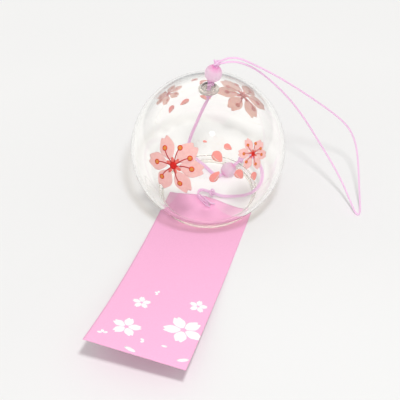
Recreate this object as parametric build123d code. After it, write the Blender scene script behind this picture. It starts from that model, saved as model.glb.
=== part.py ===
"""Furin wind bell: a blown glass globe on a cord, with a bead clapper and a paper strip.

The bell stands on its mouth, as it lies in a shop: the slack cord rests inside it, the strip
lies under the rim and curls up at its free end, and the hanging loop arches over to the table.
All pieces are modelled round the bell's axis, with z = 0 on the table and the strip along -Y,
and are moved at the end so that the origin is under the middle of the globe and the strip.
"""

import os
from math import cos, pi, radians, sin, sqrt, tan

from build123d import *

# Glass globe, in mm and degrees
GLOBE_RADIUS = 38.0
WALL = 1.2
NECK_RADIUS = 24.9
NECK_HEIGHT = 2.65
NECK_FILLET = 2.0
LIP_RADIUS = 0.9
LIP_FLAT_DEPTH = 0.15
HOLE_RADIUS = 3.0
HOLE_EDGE_CUT = 0.4

# Paper strip
STRIP_WIDTH = 44.5
STRIP_LENGTH = 106.0
STRIP_THICKNESS = 0.3
STRIP_OFFSET = 3.1
STRIP_INSET = 5.6
CURL_START = 20.0
CURL_RADIUS = 309.0
CURL_SKEW = 10.6
TONGUE_RISE = 3.6
TONGUE_REACH = 22.5
TIE_HOLE_RADIUS = 1.5
TIE_HOLE_INSET = 4.0
RIM_CLEARANCE = 0.1

# Cord, laid double inside the bell
CORD = 0.9
PAIR_GAP = 0.06
KNOT_TURNS = 2
KNOT_TURN_GAP = 0.42
KNOT_CLEARANCE = 0.03
KNOT_STUB = 0.45
KNOT_LEAD = 1.8
KNOT_SIDES = 6
CORD_SIDES = 6
CORD_MEETING_GAP = 0.2

# Beads and washer
BEAD_RADIUS = 4.0
BEAD_BORE_RADIUS = 1.15
BEAD_BORE_CUT = 0.25
WASHER_RADIUS = 4.7
WASHER_HOLE_RADIUS = 1.3
WASHER_THICKNESS = 1.0
WASHER_EDGE_CUT = 0.2
WASHER_GAP = 0.25

# Hanger: it stands up out of the hole and leans to one side
VIEW_TURN = 18.25
LEAN = 13.5
KNOT_UNDER_WASHER = 0.7
COLLAR_REACH = 3.3
BEAD_REACH = 9.05
TOP_KNOT_GAP = 0.25

# The route of the hanging loop, from the top knot out to the table and back
LOOP_ROUTE = [
    (5.7, 1.3, 83.9),
    (8.6, 2.2, 85.4),
    (13.0, 4.2, 84.9),
    (19.0, 7.8, 80.2),
    (27.0, 13.2, 73.2),
    (36.2, 18.1, 65.0),
    (45.2, 23.4, 55.9),
    (53.4, 28.6, 46.9),
    (59.6, 32.0, 39.9),
    (64.4, 33.2, 34.0),
    (67.9, 31.8, 28.5),
    (70.4, 28.6, 23.4),
    (72.4, 24.6, 18.0),
    (74.4, 20.2, 12.0),
    (76.3, 16.0, 6.3),
    (77.7, 12.8, 2.4),
    (78.2, 10.6, 0.9),
    (77.6, 9.1, 0.6),
    (76.2, 9.2, 1.0),
    (74.3, 10.8, 2.9),
    (71.2, 13.6, 6.4),
    (66.6, 17.0, 12.2),
    (59.8, 19.7, 21.0),
    (51.4, 21.9, 31.2),
    (43.8, 22.4, 42.0),
    (36.4, 21.2, 52.6),
    (28.6, 17.4, 63.6),
    (20.8, 11.4, 74.6),
    (14.2, 5.9, 81.4),
    (9.4, 2.6, 83.4),
    (6.1, 1.3, 82.6),
]

# The clapper cord from under the hole down to its bead: the middle of the two strands
CLAPPER_BEARING = 68.6
BEAD_TO_NECK = 1.87
BEAD_OVER_TABLE = 0.3
CLAPPER_BEAD_LEAN = (0.622, 0.602, 0.501)
CLAPPER_ROUTE = [
    (-1.2, 1.3, 59.4),
    (-3.7, 3.6, 53.2),
    (-8.0, 7.3, 41.2),
    (-12.7, 11.6, 27.6),
    (-15.9, 15.5, 17.0),
    (-16.4, 18.9, 9.6),
    (-12.9, 19.2, 4.5),
    (-8.2, 18.6, 1.9),
    (-3.2, 15.6, 1.0),
    (0.4, 13.1, 0.95),
]
BEAD_ENTRY_REACH = 5.2
BEAD_KNOT_REACH = 8.4

# The tail from the clapper's knot round the wall to the tie knot, then the tie's loop
TAIL_ROUTE = [
    (15.9, 23.4, 11.6),
    (19.3, 20.7, 12.9),
    (23.3, 16.3, 13.6),
    (26.4, 11.2, 13.0),
    (27.4, 6.2, 10.8),
    (25.2, 2.4, 7.4),
    (20.8, 0.9, 4.2),
    (15.2, 0.2, 2.4),
    (9.8, -1.2, 2.0),
]
TIE_KNOT_PLACE = (3.0, -1.8, 3.2)
TIE_KNOT_LEAN = (-0.98, 0.0, 0.2)
TIE_LOOP_ROUTE = [
    (-2.5, -2.9, 4.4),
    (-3.6, -5.2, 4.8),
    (-2.4, -7.9, 4.8),
    (0.6, -9.4, 4.6),
    (3.2, -9.9, 3.6),
    (3.6, -9.6, 1.7),
    (1.6, -8.2, 0.9),
    (-1.6, -6.3, 1.0),
    (-4.4, -3.6, 2.0),
    (-4.0, -1.5, 3.5),
]

RIM_Z = STRIP_THICKNESS + RIM_CLEARANCE
NECK_TOP = sqrt(GLOBE_RADIUS**2 - NECK_RADIUS**2)
GLOBE_Z = RIM_Z + NECK_HEIGHT + NECK_TOP - LIP_FLAT_DEPTH
INNER_RADIUS = GLOBE_RADIUS - WALL
HALF_PAIR = (CORD + PAIR_GAP) / 2
KNOT_RADIUS = HALF_PAIR + CORD / 2 + KNOT_CLEARANCE + CORD / 2
KNOT_PITCH = CORD + KNOT_TURN_GAP
KNOT_HALF = KNOT_TURNS * KNOT_PITCH / 2 + CORD / 2
KNOT_END = KNOT_HALF + KNOT_STUB
ARC_SHARE = 0.45


def corner_radii(points):
    """The largest arc that each corner of a route has room for."""
    radii = []
    for before, here, after in zip(points, points[1:], points[2:]):
        turn = radians((here - before).get_angle(after - here))
        shorter = min((here - before).length, (after - here).length)
        radii.append(ARC_SHARE * shorter / tan(turn / 2))
    return radii


def tube(name, points):
    """A cord of CORD_SIDES flat sides along straight runs joined by tangent arcs."""
    points = [Vector(*p) for p in points]
    radii = corner_radii(points)
    path = FilletPolyline(*points, radius=radii)
    section = RegularPolygon(CORD / 2, CORD_SIDES)
    solid = sweep(Plane(path @ 0, z_dir=path % 0) * section, path=path)
    share = solid.volume / (section.area * path.length)
    shown = ", ".join(f"{r:.1f}" for r in radii)
    print(f"{name}: length {path.length:.1f}, volume share {share:.3f}, radii {shown}")
    return solid


def straight_cord(length):
    """A straight run of cord with its middle at the origin, along Z."""
    return extrude(RegularPolygon(CORD / 2, CORD_SIDES), length / 2, both=True)


def side_by_side(route):
    """Two routes that lie level beside the given one, for a cord laid double."""
    middle = [Vector(*p) for p in route]
    last = len(middle) - 1
    pair = []
    for sign in (1, -1):
        strand = []
        for i, point in enumerate(middle):
            if i <= 1:
                along = middle[1] - middle[0]
            elif i >= last - 1:
                along = middle[last] - middle[last - 1]
            else:
                along = middle[i + 1] - middle[i - 1]
            side = Vector(along.Y, -along.X, 0).normalized()
            strand.append(point + side * (sign * HALF_PAIR))
        pair.append(strand)
    return pair


def knot(name, place, lean):
    """Two strands through a double turn of cord, as a tied knot seats them."""
    along = Vector(*lean).normalized()
    side = Vector(along.Y, -along.X, 0)
    side = side.normalized() if side.length > 0 else Vector(1, 0, 0)
    seat = Plane(origin=Vector(*place), x_dir=side, z_dir=along)
    core = straight_cord(2 * KNOT_END)
    strands = [seat * Pos(sign * HALF_PAIR, 0, 0) * core for sign in (1, -1)]
    step = 2 * pi / KNOT_SIDES
    count = KNOT_TURNS * KNOT_SIDES
    reach = KNOT_RADIUS / cos(step / 2)
    turns = []
    for i in range(count + 1):
        rise = KNOT_PITCH * (i / KNOT_SIDES - KNOT_TURNS / 2)
        turns.append(Vector(reach * cos(i * step), reach * sin(i * step), rise))
    gaps = [(b - a).length - CORD for a, b in zip(turns, turns[KNOT_SIDES:])]
    print(f"{name}: least gap of the turns {min(gaps):.2f}")
    return strands + [seat * tube(name, turns)]


def glass_bell():
    """The globe, its short neck and rolled lip, turned from one profile."""
    centre = Vector(0, GLOBE_Z)
    fillet_x = NECK_RADIUS + NECK_FILLET
    fillet_z = GLOBE_Z - sqrt((GLOBE_RADIUS + NECK_FILLET) ** 2 - fillet_x**2)
    fillet_at = Vector(fillet_x, fillet_z)
    away = (fillet_at - centre).normalized()
    lip_z = RIM_Z + LIP_RADIUS - LIP_FLAT_DEPTH
    outer_low = centre + away * GLOBE_RADIUS
    inner_low = centre + away * INNER_RADIUS
    outer_top = Vector(HOLE_RADIUS, GLOBE_Z + sqrt(GLOBE_RADIUS**2 - HOLE_RADIUS**2))
    inner_top = Vector(HOLE_RADIUS, GLOBE_Z + sqrt(INNER_RADIUS**2 - HOLE_RADIUS**2))
    turn = (Vector(-1, 0) + Vector(-away.X, -away.Y)).normalized()
    outer_bend = fillet_at + turn * NECK_FILLET
    inner_bend = fillet_at + turn * (NECK_FILLET + WALL)
    neck_outer = Vector(NECK_RADIUS, fillet_z)
    neck_inner = Vector(NECK_RADIUS - WALL, fillet_z)
    lip_outer = Vector(NECK_RADIUS, lip_z)
    lip_inner = Vector(NECK_RADIUS - WALL, lip_z)
    globe_side = Vector(GLOBE_RADIUS, GLOBE_Z)
    inner_side = Vector(INNER_RADIUS, GLOBE_Z)
    outline = [
        ThreePointArc(outer_top, globe_side, outer_low),
        ThreePointArc(outer_low, outer_bend, neck_outer),
        Line(neck_outer, lip_outer),
        Line(lip_outer, lip_inner),
        Line(lip_inner, neck_inner),
        ThreePointArc(neck_inner, inner_bend, inner_low),
        ThreePointArc(inner_low, inner_side, inner_top),
        Line(inner_top, outer_top),
    ]
    wall = make_face(Curve() + outline)
    lip_middle = NECK_RADIUS - WALL / 2
    lip = Pos(lip_middle, lip_z) * Circle(LIP_RADIUS)
    spare = Pos(lip_middle, RIM_Z - LIP_RADIUS) * Rectangle(4 * LIP_RADIUS, 2 * LIP_RADIUS)
    profile = wall + lip - spare
    bell = revolve(Plane.XZ * profile, Axis.Z)
    hole_edges = bell.edges().filter_by(GeomType.CIRCLE)
    hole_edges = hole_edges.filter_by(lambda e: abs(e.radius - HOLE_RADIUS) < WALL / 2)
    return chamfer(hole_edges, HOLE_EDGE_CUT)


def dome_bend():
    """The radius of the two arcs, crown and foot, that make the dome of the strip's tied end."""
    return (TONGUE_REACH**2 + TONGUE_RISE**2) / (4 * TONGUE_RISE)


def dome_height(reach):
    """The dome's height over the table at a distance from the bell's axis."""
    if reach >= TONGUE_REACH:
        return 0
    if reach > TONGUE_REACH / 2:
        return dome_bend() - sqrt(dome_bend() ** 2 - (TONGUE_REACH - reach) ** 2)
    return TONGUE_RISE - dome_bend() + sqrt(dome_bend() ** 2 - reach**2)


def strip_point(across, along):
    """Where a point of the flat strip lies once it has curled, on its lower side."""
    skew = radians(CURL_SKEW)
    over = along * cos(skew) - across * sin(skew)
    beside = along * sin(skew) + across * cos(skew)
    bent = max(0, over - CURL_START)
    flat = min(over, CURL_START) + CURL_RADIUS * sin(bent / CURL_RADIUS)
    rise = CURL_RADIUS * (1 - cos(bent / CURL_RADIUS))
    x = STRIP_OFFSET - flat * sin(skew) + beside * cos(skew)
    y = -STRIP_INSET - flat * cos(skew) - beside * sin(skew)
    return Vector(x, y, rise + dome_height(sqrt(x**2 + y**2)))


def strip_dome():
    """The dome over the mouth, where the cord lifts the strip's tied end."""
    lift = Pos(0, STRIP_THICKNESS)
    middle = (TONGUE_REACH / 2, TONGUE_RISE / 2)
    crown = TangentArc((0, TONGUE_RISE), middle, tangent=(1, 0))
    foot = TangentArc((TONGUE_REACH, 0), middle, tangent=(-1, 0))
    inner = Line((0, TONGUE_RISE), (0, TONGUE_RISE + STRIP_THICKNESS))
    outer = Line((TONGUE_REACH, 0), (TONGUE_REACH, STRIP_THICKNESS))
    profile = make_face(Curve() + [crown, foot, outer, lift * foot, lift * crown, inner])
    return revolve(Plane.XZ * profile, Axis.Z)


def strip_plate():
    """A wide plate: flat, then curled up, in line with the curl and longer than the strip."""
    skew = radians(CURL_SKEW)
    turn = (STRIP_LENGTH + STRIP_WIDTH - CURL_START) / CURL_RADIUS
    inner_radius = CURL_RADIUS - STRIP_THICKNESS
    start = -STRIP_WIDTH
    low_tip = (CURL_START + CURL_RADIUS * sin(turn), CURL_RADIUS * (1 - cos(turn)))
    high_tip = (CURL_START + inner_radius * sin(turn), CURL_RADIUS - inner_radius * cos(turn))
    outline = [
        Line((start, 0), (CURL_START, 0)),
        TangentArc((CURL_START, 0), low_tip, tangent=(1, 0)),
        Line(low_tip, high_tip),
        TangentArc((CURL_START, STRIP_THICKNESS), high_tip, tangent=(1, 0)),
        Line((CURL_START, STRIP_THICKNESS), (start, STRIP_THICKNESS)),
        Line((start, STRIP_THICKNESS), (start, 0)),
    ]
    side_on = Plane(
        origin=(STRIP_OFFSET, -STRIP_INSET, 0),
        x_dir=(-sin(skew), -cos(skew), 0),
        z_dir=(-cos(skew), sin(skew), 0),
    )
    return extrude(side_on * make_face(Curve() + outline), STRIP_LENGTH, both=True)


def paper_strip():
    """The strip: domed at its tied end, flat under the rim and curled up at its free end."""
    skew = radians(CURL_SKEW)
    left, right = [], []
    for edge, across in ((left, -STRIP_WIDTH / 2), (right, STRIP_WIDTH / 2)):
        bend = (CURL_START + across * sin(skew)) / cos(skew)
        for along in (0, bend, STRIP_LENGTH):
            corner = strip_point(across, along)
            edge.append((corner.X, corner.Y))
    plan = make_face(Polyline(*left, *reversed(right), close=True))
    height = 2 * STRIP_LENGTH
    sheet = strip_plate() - Cylinder(TONGUE_REACH, height) + strip_dome()
    strip = sheet & extrude(plan, height, both=True)
    return strip - tie_hole() * Cylinder(TIE_HOLE_RADIUS, 2 * TONGUE_RISE)


def tie_hole():
    """The middle of the punched hole near the strip's tied end."""
    place = strip_point(0, TIE_HOLE_INSET)
    return Pos(place.X, place.Y, place.Z)


def bead(place, lean):
    """A round bead with a bore along its lean."""
    ball = Sphere(BEAD_RADIUS) - Cylinder(BEAD_BORE_RADIUS, 3 * BEAD_RADIUS)
    ball = chamfer(ball.edges().filter_by(GeomType.CIRCLE), BEAD_BORE_CUT)
    return Plane(origin=Vector(*place), z_dir=Vector(*lean)) * ball


def clapper_bead_place():
    """The clapper lies just inside the neck, just over the table."""
    reach = NECK_RADIUS - WALL - BEAD_TO_NECK - BEAD_RADIUS
    bearing = radians(CLAPPER_BEARING)
    return Vector(reach * cos(bearing), reach * sin(bearing), BEAD_RADIUS + BEAD_OVER_TABLE)


def hanger_places():
    """Heights and places along the cord that stands in the top hole."""
    washer_top = GLOBE_Z + sqrt(INNER_RADIUS**2 - WASHER_RADIUS**2) - WASHER_GAP
    washer_low = washer_top - WASHER_THICKNESS
    turn, tilt = radians(VIEW_TURN), radians(LEAN)
    lean = Vector(sin(tilt) * cos(turn), sin(tilt) * sin(turn), cos(tilt))
    foot = Vector(0, 0, washer_top)
    bore_end = sqrt(BEAD_RADIUS**2 - BEAD_BORE_RADIUS**2)
    top_reach = BEAD_REACH + bore_end + TOP_KNOT_GAP + KNOT_HALF
    stopper = Vector(0, 0, washer_low - KNOT_UNDER_WASHER - KNOT_HALF)
    return {
        "washer_middle": Vector(0, 0, (washer_top + washer_low) / 2),
        "stopper": stopper,
        "foot": foot,
        "lean": lean,
        "collar": foot + lean * COLLAR_REACH,
        "bead": foot + lean * BEAD_REACH,
        "top_knot": foot + lean * top_reach,
    }


def washer(middle):
    """The clear washer that the stopper knot bears on under the hole."""
    ring = Cylinder(WASHER_RADIUS, WASHER_THICKNESS)
    ring -= Cylinder(WASHER_HOLE_RADIUS, 2 * WASHER_THICKNESS)
    edges = ring.edges().filter_by(GeomType.CIRCLE)
    outer = edges.filter_by(lambda e: e.radius > (WASHER_RADIUS + WASHER_HOLE_RADIUS) / 2)
    return Pos(*middle) * chamfer(outer, WASHER_EDGE_CUT)


def stem(places):
    """The two strands from the stopper knot up to the collar, and on to the top knot."""
    turn = radians(VIEW_TURN)
    side = Vector(cos(turn), sin(turn), 0)
    lean = places["lean"]
    lean_side = (side - lean * side.dot(lean)).normalized()
    low = places["stopper"] + Vector(0, 0, KNOT_END)
    bend = places["foot"]
    lower, upper = [], []
    for sign in (1, -1):
        shift, lean_shift = side * (sign * HALF_PAIR), lean_side * (sign * HALF_PAIR)
        collar_low = places["collar"] - lean * KNOT_END + lean_shift
        lower.append(tube("stem", [low + shift, bend + shift, collar_low]))
        reach = (places["top_knot"] - places["collar"]).length - 2 * KNOT_END
        middle = places["collar"] + lean * (KNOT_END + reach / 2) + lean_shift
        strand = Plane(origin=middle, x_dir=lean_side, z_dir=lean) * straight_cord(reach)
        upper.append(strand)
    return lower, upper


def clapper_routes(places):
    """The middle route of the clapper cord and the places of its bead and knot."""
    bead_at, lean = clapper_bead_place(), Vector(*CLAPPER_BEAD_LEAN).normalized()
    start = places["stopper"] - Vector(0, 0, KNOT_END + CORD_MEETING_GAP)
    knot_at = bead_at + lean * BEAD_KNOT_REACH
    route = [start, *CLAPPER_ROUTE]
    route += [bead_at - lean * BEAD_ENTRY_REACH, knot_at - lean * KNOT_END]
    tie_at, tie_lean = Vector(*TIE_KNOT_PLACE), Vector(*TIE_KNOT_LEAN).normalized()
    tail = [knot_at + lean * KNOT_END, knot_at + lean * (KNOT_END + KNOT_LEAD)]
    tail += TAIL_ROUTE
    tail += [tie_at - tie_lean * (KNOT_END + KNOT_LEAD), tie_at - tie_lean * KNOT_END]
    return route, knot_at, tail


def tie_loop():
    """One strand from the tie knot round the strip's end, through its hole and back."""
    place, lean = Vector(*TIE_KNOT_PLACE), Vector(*TIE_KNOT_LEAN).normalized()
    side = Vector(lean.Y, -lean.X, 0).normalized()
    out, back = [], []
    for reach in (KNOT_END, KNOT_END + KNOT_LEAD):
        middle = place + lean * reach
        out.append(middle - side * HALF_PAIR)
        back.insert(0, middle + side * HALF_PAIR)
    return tube("tie loop", out + TIE_LOOP_ROUTE + back)


def build():
    """Every piece under the name of its node, placed round the bell's axis."""
    places = hanger_places()
    lower, upper = stem(places)
    route, knot_at, tail = clapper_routes(places)
    pieces = {
        "glass_bell": [glass_bell()],
        "tanzaku_strip": [paper_strip()],
        "hole_washer": [washer(places["washer_middle"])],
        "stopper_knot": knot("stopper knot", places["stopper"], (0, 0, 1)),
        "stem_cord_lower": lower,
        "collar_knot": knot("collar knot", places["collar"], places["lean"]),
        "stem_cord_upper": upper,
        "upper_bead": [bead(places["bead"], places["lean"])],
        "top_knot": knot("top knot", places["top_knot"], places["lean"]),
        "hanging_loop": [tube("hanging loop", LOOP_ROUTE)],
        "clapper_cord": [tube("clapper cord", s) for s in side_by_side(route)],
        "clapper_bead": [bead(clapper_bead_place(), CLAPPER_BEAD_LEAN)],
        "clapper_knot": knot("clapper knot", knot_at, CLAPPER_BEAD_LEAN),
        "tail_cord": [tube("tail cord", s) for s in side_by_side(tail)],
        "tie_knot": knot("tie knot", TIE_KNOT_PLACE, TIE_KNOT_LEAN),
        "tie_loop": [tie_loop()],
    }
    return pieces, places


def main():
    pieces, places = build()
    back = pieces["glass_bell"][0].bounding_box().max.Y
    front = pieces["tanzaku_strip"][0].bounding_box().min.Y
    shift = Pos(0, -(back + front) / 2, 0)
    print("shift of the bell's axis along Y", round(shift.position.Y, 4))
    for name, place in places.items():
        print(name, tuple(round(v, 4) for v in place))
    print("clapper bead", tuple(round(v, 4) for v in clapper_bead_place()))
    os.makedirs("parts", exist_ok=True)
    for name, solids in pieces.items():
        moved = [shift * s for s in solids]
        node = moved[0] if len(moved) == 1 else Compound(children=moved)
        node.label = name
        export_step(node, f"parts/{name}.step")


main()
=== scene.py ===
"""Looks of the furin wind bell: blown glass with painted blossoms, pink beads, cord and paper strip.

Lengths in this script are millimetres measured from the bell's axis, with z = 0 on the table and the
strip along -Y. place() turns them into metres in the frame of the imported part.
"""
from math import asin, atan2, cos, degrees, hypot, pi, radians, sin, sqrt

import bmesh
import bpy
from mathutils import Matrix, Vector


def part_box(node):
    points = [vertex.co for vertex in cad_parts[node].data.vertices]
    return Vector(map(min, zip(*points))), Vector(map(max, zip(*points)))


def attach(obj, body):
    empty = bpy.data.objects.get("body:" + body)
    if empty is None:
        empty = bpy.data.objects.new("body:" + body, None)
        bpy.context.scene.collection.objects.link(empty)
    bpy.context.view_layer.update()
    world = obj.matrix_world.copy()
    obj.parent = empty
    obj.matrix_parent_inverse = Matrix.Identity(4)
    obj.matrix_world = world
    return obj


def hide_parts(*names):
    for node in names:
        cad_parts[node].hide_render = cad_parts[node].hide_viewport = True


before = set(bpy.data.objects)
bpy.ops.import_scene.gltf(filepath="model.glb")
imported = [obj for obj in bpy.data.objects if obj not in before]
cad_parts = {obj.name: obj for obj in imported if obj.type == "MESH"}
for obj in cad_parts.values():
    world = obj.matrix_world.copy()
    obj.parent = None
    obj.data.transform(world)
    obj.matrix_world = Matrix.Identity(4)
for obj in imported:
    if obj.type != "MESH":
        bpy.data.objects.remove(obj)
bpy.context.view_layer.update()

MM = 0.001

# Glass globe
GLOBE_RADIUS = 38.0
WALL = 1.2
NECK_RADIUS = 24.9
NECK_HEIGHT = 2.65
NECK_FILLET = 2.0
LIP_RADIUS = 0.9
LIP_FLAT_DEPTH = 0.15
HOLE_RADIUS = 3.0
HOLE_EDGE_ROUND = 0.4
RIM_Z = 0.4
GROUND_HEIGHT = 0.8
GLOBE_ROUND_STEPS = 192
GLOBE_ARC_STEPS = 96
FILLET_STEPS = 8
LIP_STEPS = 12
EDGE_STEPS = 5
INNER_RADIUS = GLOBE_RADIUS - WALL
GLOBE_Z = RIM_Z + NECK_HEIGHT + sqrt(GLOBE_RADIUS**2 - NECK_RADIUS**2) - LIP_FLAT_DEPTH

# Paper strip
STRIP_WIDTH = 44.5
STRIP_LENGTH = 106.0
STRIP_THICKNESS = 0.3
STRIP_OFFSET = 3.1
STRIP_INSET = 5.6
CURL_START = 20.0
CURL_RADIUS = 309.0
CURL_SKEW = radians(10.6)
TONGUE_RISE = 3.6
TONGUE_REACH = 22.5
TIE_HOLE_RADIUS = 1.5
TIE_HOLE_INSET = 4.0
TIE_HOLE_SIDES = 48
TIE_PUNCH_DEPTH = 6.0
STRIP_COLUMNS = 44
STRIP_ROWS = 106

# From END_START on, the strip's free end leaves the plain curl, and its left corner leaves it further
END_START = 50.0
END_RISE = 1.5
END_SHIFT = 0.8
CORNER_RISE = 1.8
CORNER_REACH = 2.0

# Cord, beads and the hanger that leans out of the hole
CORD = 0.9
HALF_PAIR = 0.48
BEAD_RADIUS = 4.0
BEAD_BORE = 1.15
BORE_EDGE_REACH = 0.3
BORE_EDGE_RADIUS = 0.35
BORE_EDGE_DEPTH = 0.25
BORE_EDGE_TURN = 80
BEAD_ROUND_STEPS = 64
BEAD_ARC_STEPS = 40
# The attribute that places the beads' painted light and shade along the bore
BORE_SHARE = "bore_share"
VIEW_TURN = radians(18.25)
LEAN = radians(13.5)
LEAN_WAY = Vector((sin(LEAN) * cos(VIEW_TURN), sin(LEAN) * sin(VIEW_TURN), cos(LEAN)))
WASHER_RADIUS = 4.7
WASHER_GAP = 0.25
WASHER_THICKNESS = 1.0
KNOT_UNDER_WASHER = 0.7
COLLAR_REACH = 3.3
BEAD_REACH = 9.05
TOP_KNOT_REACH = 14.9
BEAD_ENTRY_REACH = 5.2
BEAD_KNOT_REACH = 8.4
KNOT_HALF = 1.77
KNOT_END = 2.22
KNOT_LEAD = 1.8
WASHER_TOP = GLOBE_Z + sqrt(INNER_RADIUS**2 - WASHER_RADIUS**2) - WASHER_GAP
HANGER_FOOT = Vector((0, 0, WASHER_TOP))
STOPPER = Vector((0, 0, WASHER_TOP - WASHER_THICKNESS - KNOT_UNDER_WASHER - KNOT_HALF))
COLLAR = HANGER_FOOT + LEAN_WAY * COLLAR_REACH
UPPER_BEAD = HANGER_FOOT + LEAN_WAY * BEAD_REACH
TOP_KNOT = HANGER_FOOT + LEAN_WAY * TOP_KNOT_REACH
CLAPPER_BEAD = Vector((6.5, 16.6, 4.3))
CLAPPER_WAY = Vector((0.622, 0.602, 0.501)).normalized()
CLAPPER_KNOT = CLAPPER_BEAD + CLAPPER_WAY * BEAD_KNOT_REACH
TIE_KNOT = Vector((3.0, -1.8, 3.2))
TIE_WAY = Vector((-0.98, 0.0, 0.2)).normalized()

# Camera: the photograph's place, in the same measure
CAMERA_PLACE = Vector((82.19, -261.87, 273.72))
CAMERA_PITCH = radians(45.41)
CAMERA_LENS = 66.54
SENSOR = 36.0
CLIP_START = 10.0

glass_low, glass_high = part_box("glass_bell")
AXIS_Y = (glass_low.y + glass_high.y) / 2 / MM


def place(point):
    """A point given in this script's measure, in metres in the part's frame."""
    x, y, z = point
    return Vector((x * MM, (y + AXIS_Y) * MM, z * MM))


# Materials
def new_material(name):
    """A material, its emptied node tree and its output node."""
    material = bpy.data.materials.new(name)
    material.use_nodes = True
    tree = material.node_tree
    tree.nodes.clear()
    output = tree.nodes.new("ShaderNodeOutputMaterial")
    return material, tree, output


def add(tree, kind, **settings):
    """A node of that kind with attributes and named inputs set."""
    node = tree.nodes.new(kind)
    for key, value in settings.items():
        if key in node.inputs:
            node.inputs[key].default_value = value
        else:
            setattr(node, key, value)
    return node


def link(tree, source, target):
    tree.links.new(source, target)


def fill_ramp(ramp, stops):
    """A colour ramp's stops, as pairs of position and colour."""
    elements = ramp.color_ramp.elements
    while len(elements) < len(stops):
        elements.new(1.0)
    for element, (position, colour) in zip(elements, stops):
        element.position = position
        element.color = colour


def textured(tree, kind, **settings):
    """A texture node laid through the object's own space."""
    coords = add(tree, "ShaderNodeTexCoord")
    texture = add(tree, kind, **settings)
    link(tree, coords.outputs["Object"], texture.inputs["Vector"])
    return texture


def roughen(tree, height, body, strength, depth):
    """Fine bumps on the body's surface, of that depth in millimetres."""
    bump = add(tree, "ShaderNodeBump", Strength=strength, Distance=depth * MM)
    link(tree, height, bump.inputs["Height"])
    link(tree, bump.outputs["Normal"], body.inputs["Normal"])


def let_light_through(tree, ramp, body, share, output):
    """The body in the ramp's colours, with a share of it lit from behind."""
    link(tree, ramp.outputs["Color"], body.inputs["Base Color"])
    back = add(tree, "ShaderNodeBsdfTranslucent")
    link(tree, ramp.outputs["Color"], back.inputs["Color"])
    mix = add(tree, "ShaderNodeMixShader")
    mix.inputs[0].default_value = share
    link(tree, body.outputs[0], mix.inputs[1])
    link(tree, back.outputs[0], mix.inputs[2])
    link(tree, mix.outputs[0], output.inputs["Surface"])


def tone(red, green, blue):
    """A colour given as it looks on the screen, 0 to 255, as linear light."""
    def linear(c):
        c /= 255
        return c / 12.92 if c <= 0.04045 else ((c + 0.055) / 1.055) ** 2.4
    return (linear(red), linear(green), linear(blue), 1.0)


def glass_material():
    """Clear blown glass. Lamps shine through it, less where it stands edge on."""
    material, tree, output = new_material("clear_glass")
    waves = textured(tree, "ShaderNodeTexNoise", Scale=45.0, Detail=1.0)
    body = add(tree, "ShaderNodeBsdfPrincipled", Roughness=0.0, IOR=1.5)
    body.inputs["Base Color"].default_value = (1.0, 0.997, 0.99, 1)
    roughen(tree, waves.outputs["Fac"], body, strength=0.015, depth=0.3)
    body.inputs["Transmission Weight"].default_value = 1.0
    facing = add(tree, "ShaderNodeLayerWeight", Blend=0.5)
    ramp = add(tree, "ShaderNodeValToRGB")
    fill_ramp(ramp, [
        (0.0, (0.994, 0.994, 0.994, 1)),
        (0.45, (0.982, 0.981, 0.978, 1)),
        (0.64, (0.955, 0.95, 0.93, 1)),
        (0.80, (0.72, 0.69, 0.63, 1)),
        (1.0, (0.34, 0.31, 0.25, 1)),
    ])
    link(tree, facing.outputs["Facing"], ramp.inputs["Fac"])
    through = add(tree, "ShaderNodeBsdfTransparent")
    link(tree, ramp.outputs["Color"], through.inputs["Color"])
    path = add(tree, "ShaderNodeLightPath")
    either = add(tree, "ShaderNodeMath", operation="MAXIMUM")
    link(tree, path.outputs["Is Shadow Ray"], either.inputs[0])
    link(tree, path.outputs["Is Diffuse Ray"], either.inputs[1])
    mix = add(tree, "ShaderNodeMixShader")
    link(tree, either.outputs[0], mix.inputs[0])
    link(tree, body.outputs[0], mix.inputs[1])
    link(tree, through.outputs[0], mix.inputs[2])
    link(tree, mix.outputs[0], output.inputs["Surface"])
    return material


def ground_material(name, colour, clear_share):
    """Glass that is ground and left frosted."""
    material, tree, output = new_material(name)
    grit = textured(tree, "ShaderNodeTexNoise", Scale=4000.0, Detail=4.0)
    body = add(tree, "ShaderNodeBsdfPrincipled", Roughness=0.6, IOR=1.5)
    body.inputs["Base Color"].default_value = colour
    body.inputs["Transmission Weight"].default_value = clear_share
    roughen(tree, grit.outputs["Fac"], body, strength=0.3, depth=0.04)
    link(tree, body.outputs[0], output.inputs["Surface"])
    return material


PAINT_MOTTLE_SHARE = 0.05
PAINT_BACK_SHARE = 0.45
CORD_BACK_SHARE = 0.45
BEAD_BACK_SHARE = 0.55


def paint_material(name, colour, back_share=PAINT_BACK_SHARE):
    """Brushed-on paint: a matt colour that also glows a little when light comes from behind."""
    material, tree, output = new_material(name)
    noise = textured(tree, "ShaderNodeTexNoise", Scale=900.0, Detail=3.0)
    ramp = add(tree, "ShaderNodeValToRGB")
    light = [min(1.0, c * (1 + PAINT_MOTTLE_SHARE)) for c in colour[:3]]
    dark = [c * (1 - PAINT_MOTTLE_SHARE) for c in colour[:3]]
    fill_ramp(ramp, [(0.3, (*dark, 1)), (0.7, (*light, 1))])
    link(tree, noise.outputs["Fac"], ramp.inputs["Fac"])
    body = add(tree, "ShaderNodeBsdfPrincipled", Roughness=0.45)
    let_light_through(tree, ramp, body, back_share, output)
    return material


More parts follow.
